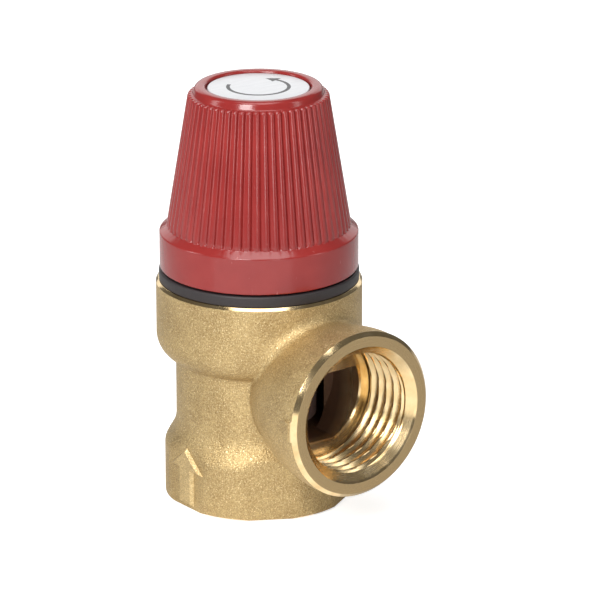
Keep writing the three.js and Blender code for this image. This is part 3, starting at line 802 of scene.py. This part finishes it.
def inner_pieces(nylon, painted_light_nylon, rubber, stainless, bright, wire):
    """Smooth pieces for everything that is turned or stamped inside the valve."""
    low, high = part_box("obturator")
    outer, bottom, top = high.y / MM, low.z / MM, high.z / MM
    disc_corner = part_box("seal_disc")[1]
    over_disc, seal_r = disc_corner.z / MM + PIECE_GAP, disc_corner.y / MM + PIECE_GAP
    # the obturator takes the lighter nylon copy, painted light for its place in shade
    stand_in("obturator", [
        (2.5, over_disc), (seal_r, over_disc), (seal_r, bottom, 0.2), (outer, bottom, 0.3),
        (outer, top, 0.4), (6.3, top, 0.2), (6.3, top - 1.0, 0.2), (2.5, top - 1.0)], painted_light_nylon)
    for node, bore, material in (
            ("seal_disc", 1.75, rubber), ("seal_washer", 1.75, stainless),
            ("diaphragm_support_washer", 2.5, stainless), ("diaphragm_plate", 2.5, stainless),
            ("diaphragm_clamp_ring", 9.4, nylon), ("spring_top_washer", 2.5, stainless),
            ("lift_washer", 2.5, stainless), ("stem_lock_washer", 2.5, stainless),
            ("adjuster_lock_ring", 4.0, bright)):
        ring_piece(node, bore, material)
    cut(ring_piece("adjusting_nut", 2.5, bright), [key_slot(bright)])
    hexagon_nut("seal_nut", 6.0, 1.75, bright)
    hexagon_nut("stem_nut", 8.0, 2.35, bright)
    low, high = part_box("spring_seat")
    bottom, top, outer = low.z / MM, high.z / MM, high.y / MM
    stand_in("spring_seat", [
        (2.5, bottom), (outer, bottom, 0.2), (outer, bottom + 1.5, 0.2), (5.4, bottom + 1.5, 0.2),
        (5.4, top, 0.4), (2.5, top, 0.2)], stainless)
    low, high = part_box("spindle")
    bottom, top = low.z / MM, high.z / MM
    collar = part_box("diaphragm_plate")[1].z / MM + PIECE_GAP
    stem = turned("smooth_spindle", [
        (0, bottom), (1.6, bottom, 0.3), (1.6, over_disc), (2.2, over_disc, 0.1),
        (2.2, collar), (3.6, collar, 0.15), (3.6, collar + 1.2, 0.15), (2.2, collar + 1.2),
        (2.2, top, 0.35), (0, top)], bright, "stem", columns=64)
    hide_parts("spindle")
    coil("spring_lower", 0.0, 3.25, wire)
    coil("spring_upper", 3.25, 6.5, wire)


def finer(profile, step=0.2):
    """The closed profile with points added, so that no side is longer than step."""
    sides = []
    for here, there in zip(profile, np.roll(profile, -1, axis=0)):
        count = max(1, math.ceil(np.hypot(*(there - here)) / step))
        sides.append(here + (there - here) * np.linspace(0, 1, count, endpoint=False)[:, None])
    return np.vstack(sides)


def diaphragm_pieces(rubber):
    """Rubber diaphragm: the centre rides on the stem, and the sloping wall is made as two pieces, one
    up to the fold and one above it.
    """
    low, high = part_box("diaphragm")
    bottom, top, outer = low.z / MM, high.z / MM, high.y / MM
    split, shelf = 6.3, top - 1.2
    fold = bottom + 1.95
    share = (fold - bottom) / (shelf - bottom)
    under_r = 6.5 + (9.1 - 6.5) * share
    over_r = split + (8.6 - split) * (fold - bottom - 1.2) / (shelf - bottom)
    centre = turned("diaphragm_centre", [
        (2.5, bottom), (split, bottom), (split, bottom + 1.2), (2.5, bottom + 1.2)],
        rubber, "stem", ring=True)
    inner = shell("diaphragm_inner_wall", revolve(finer(outline([
        (split, bottom), (6.5, bottom, 0.3), (under_r, fold), (over_r, fold),
        (split, bottom + 1.2)])), 96), rubber, None, ring=True)
    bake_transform(inner)
    wall = shell("diaphragm_wall", revolve(finer(outline([
        (over_r, fold), (under_r, fold), (9.1, shelf, 0.1), (outer, shelf, 0.1),
        (outer, top, 0.1), (8.6, top, 0.6)])), 96), rubber, None, ring=True)
    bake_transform(wall)
    for piece in (centre, inner, wall):
        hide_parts("diaphragm")


# ------------------------------------------------------------------ studio
def studio():
    """Pale floor and soft lights; what the camera sees of floor and world is white.

    The floor shows brighter in reflections over the sector ahead of the valve, like a lit sheet.
    From behind it is clear. It lies just under the inlet face, so the two don't share a plane.
    """
    mesh = bpy.data.meshes.new("floor")
    side = 3.0
    level = -0.0002
    mesh.from_pydata([(-side, -side, level), (side, -side, level), (side, side, level),
                      (-side, side, level)], [], [(0, 1, 2, 3)])
    floor = bpy.data.objects.new("floor", mesh)
    bpy.context.scene.collection.objects.link(floor)
    finish = Finish("floor", Roughness=0.9, Emission_Strength=1.0)
    finish.shader.inputs["Base Color"].default_value = (0.7, 0.7, 0.7, 1)
    seen = finish.node("ShaderNodeLightPath", out="Is Camera Ray")
    mirrored = finish.node("ShaderNodeLightPath", out="Is Glossy Ray")
    x, y = finish.axes()[:2]
    ahead = (x * 0.713 - y * 0.701) / (x * x + y * y) ** 0.5 > 0.725
    glow = finish.blend(mirrored * ahead, (0, 0, 0, 1), (0.5, 0.5, 0.5, 1))
    finish.feed("Emission Color", finish.blend(seen, glow, (0.7, 0.7, 0.7, 1)))
    clear = finish.tree.nodes.new("ShaderNodeBsdfTransparent")
    sheet = finish.tree.nodes.new("ShaderNodeMixShader")
    behind = finish.node("ShaderNodeNewGeometry", out="Backfacing")
    finish.tree.links.new(behind.socket, sheet.inputs[0])
    finish.tree.links.new(finish.shader.outputs[0], sheet.inputs[1])
    finish.tree.links.new(clear.outputs[0], sheet.inputs[2])
    finish.tree.links.new(sheet.outputs[0], finish.output.inputs[0])
    mesh.materials.append(finish.material)

    world = bpy.data.worlds.new("studio")
    bpy.context.scene.world = world
    world.use_nodes = True
    tree = world.node_tree
    tree.nodes.clear()
    background = tree.nodes.new("ShaderNodeBackground")
    output = tree.nodes.new("ShaderNodeOutputWorld")
    tree.links.new(background.outputs[0], output.inputs[0])
    light_path = tree.nodes.new("ShaderNodeLightPath")
    strength = Val(tree, light_path.outputs["Is Camera Ray"]) * 0.84 + 0.16
    tree.links.new(strength.socket, background.inputs["Strength"])

    def lamp(name, bearing, away, height, width, tall, power):
        data = bpy.data.lights.new(name, "AREA")
        data.energy = power
        data.shape = "RECTANGLE"
        data.size = width
        data.size_y = tall
        light = bpy.data.objects.new(name, data)
        bpy.context.scene.collection.objects.link(light)
        turn = math.radians(bearing)
        light.location = (away * math.sin(turn), -away * math.cos(turn), height)
        toward = Vector((0, 0, 0.035)) - light.location
        light.rotation_euler = toward.to_track_quat("-Z", "Y").to_euler()

    lamp("overhead", 53, 0.12, 0.6, 0.4, 0.4, 2.0)
    lamp("key", 30, 0.6, 0.42, 0.25, 0.3, 4.3)
    lamp("left_strip", -30, 0.6, 0.25, 0.12, 0.5, 0.9)
    lamp("right_strip", 125, 0.6, 0.25, 0.12, 0.5, 0.6)
    lamp("outlet_fill", 72, 0.6, 0.14, 0.15, 0.15, 0.5)
    lamp("back_panel", 233, 0.8, 0.35, 1.2, 0.5, 2.2)


def camera():
    """Camera 0.6 m from the valve's axis, 53 degrees round from the outlet, looking 19 down."""
    data = bpy.data.cameras.new("camera")
    data.lens = 248.1
    data.sensor_width = 36
    eye = bpy.data.objects.new("camera", data)
    bpy.context.scene.collection.objects.link(eye)
    bearing, pitch, yaw = math.radians(53.0), 0.32938, 0.01043
    eye.location = (0.6 * math.sin(bearing), -0.6 * math.cos(bearing), 0.23578)
    heading = bearing - yaw
    eye.rotation_euler = (math.pi / 2 - pitch, 0, heading)
    bpy.context.scene.camera = eye


camera()
cast = cast_brass("cast_brass", rgb(142, 115, 72), rgb(208, 183, 132))
rubbed = cast_brass("rubbed_brass", rgb(158, 130, 84), rgb(226, 202, 150))
bright = turned_brass()
red = red_plastic()
nylon = black_plastic("black_nylon", rgb(26, 22, 23), rgb(48, 41, 42))
# painted light: a lighter copy of the black nylon for the obturator, so that it shows though it sits
# in shade deep behind the outlet window
painted_light_nylon = black_plastic("painted_light_nylon", rgb(104, 84, 78), rgb(128, 106, 98))
rubber = black_rubber()
stainless = steel("stainless_steel", rgb(160, 160, 162), rgb(204, 204, 206), 0.3, 0.2)
wire = steel("spring_steel", rgb(110, 112, 116), rgb(150, 152, 156), 0.3, 0.25)
foil = label_foil()

valve_casting(cast, rubbed, bright)
knob(red)
knob_label(foil)
bonnet(nylon)

inner_pieces(nylon, painted_light_nylon, rubber, stainless, bright, wire)
diaphragm_pieces(rubber)

studio()
bpy.context.scene.view_settings.view_transform = "Standard"
